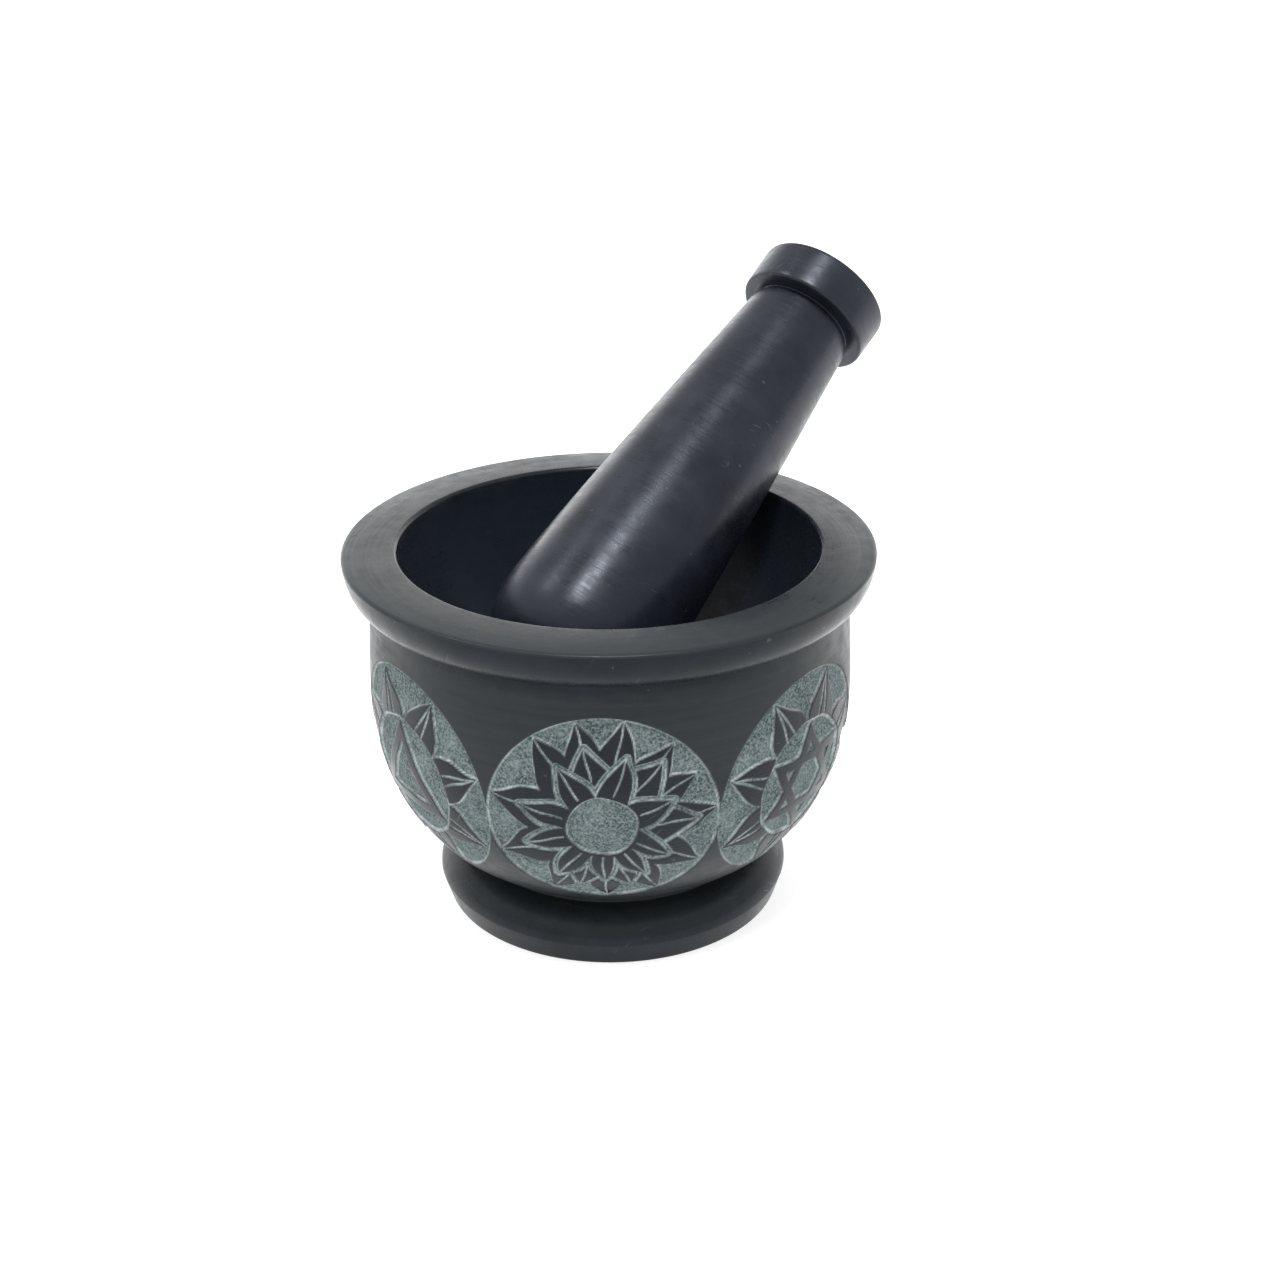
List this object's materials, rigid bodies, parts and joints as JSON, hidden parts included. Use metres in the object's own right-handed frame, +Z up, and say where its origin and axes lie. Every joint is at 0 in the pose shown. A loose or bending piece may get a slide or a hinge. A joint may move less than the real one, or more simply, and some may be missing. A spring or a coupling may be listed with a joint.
{
  "type": "stone mortar and pestle",
  "caption": "Footed round-bellied stone mortar with a thick flat rim, carved round medallions, and a capped stone pestle resting in its bowl.",
  "frame": {"origin": "centre of the flat underside of the mortar's foot", "axes": "+Z up along the mortar's turned axis, -Y towards the front medallion, pestle handle leaning to +X +Y"},
  "size_m": [0.1066, 0.1116, 0.1199],
  "materials": {
    "mortar_stone": "waxed black soapstone, carved medallions left pale and stippled",
    "pestle_stone": "polished black soapstone with fine turning marks"
  },
  "bodies": {
    "mortar": {"mortar": "mortar_stone"},
    "pestle": {"pestle": "pestle_stone"}
  },
  "joints": [
    {"name": "pestle_lift", "type": "slide", "parent": "mortar", "child": "pestle", "axis": [0, 0, 1], "range_m": [0, 0.06]}
  ]
}
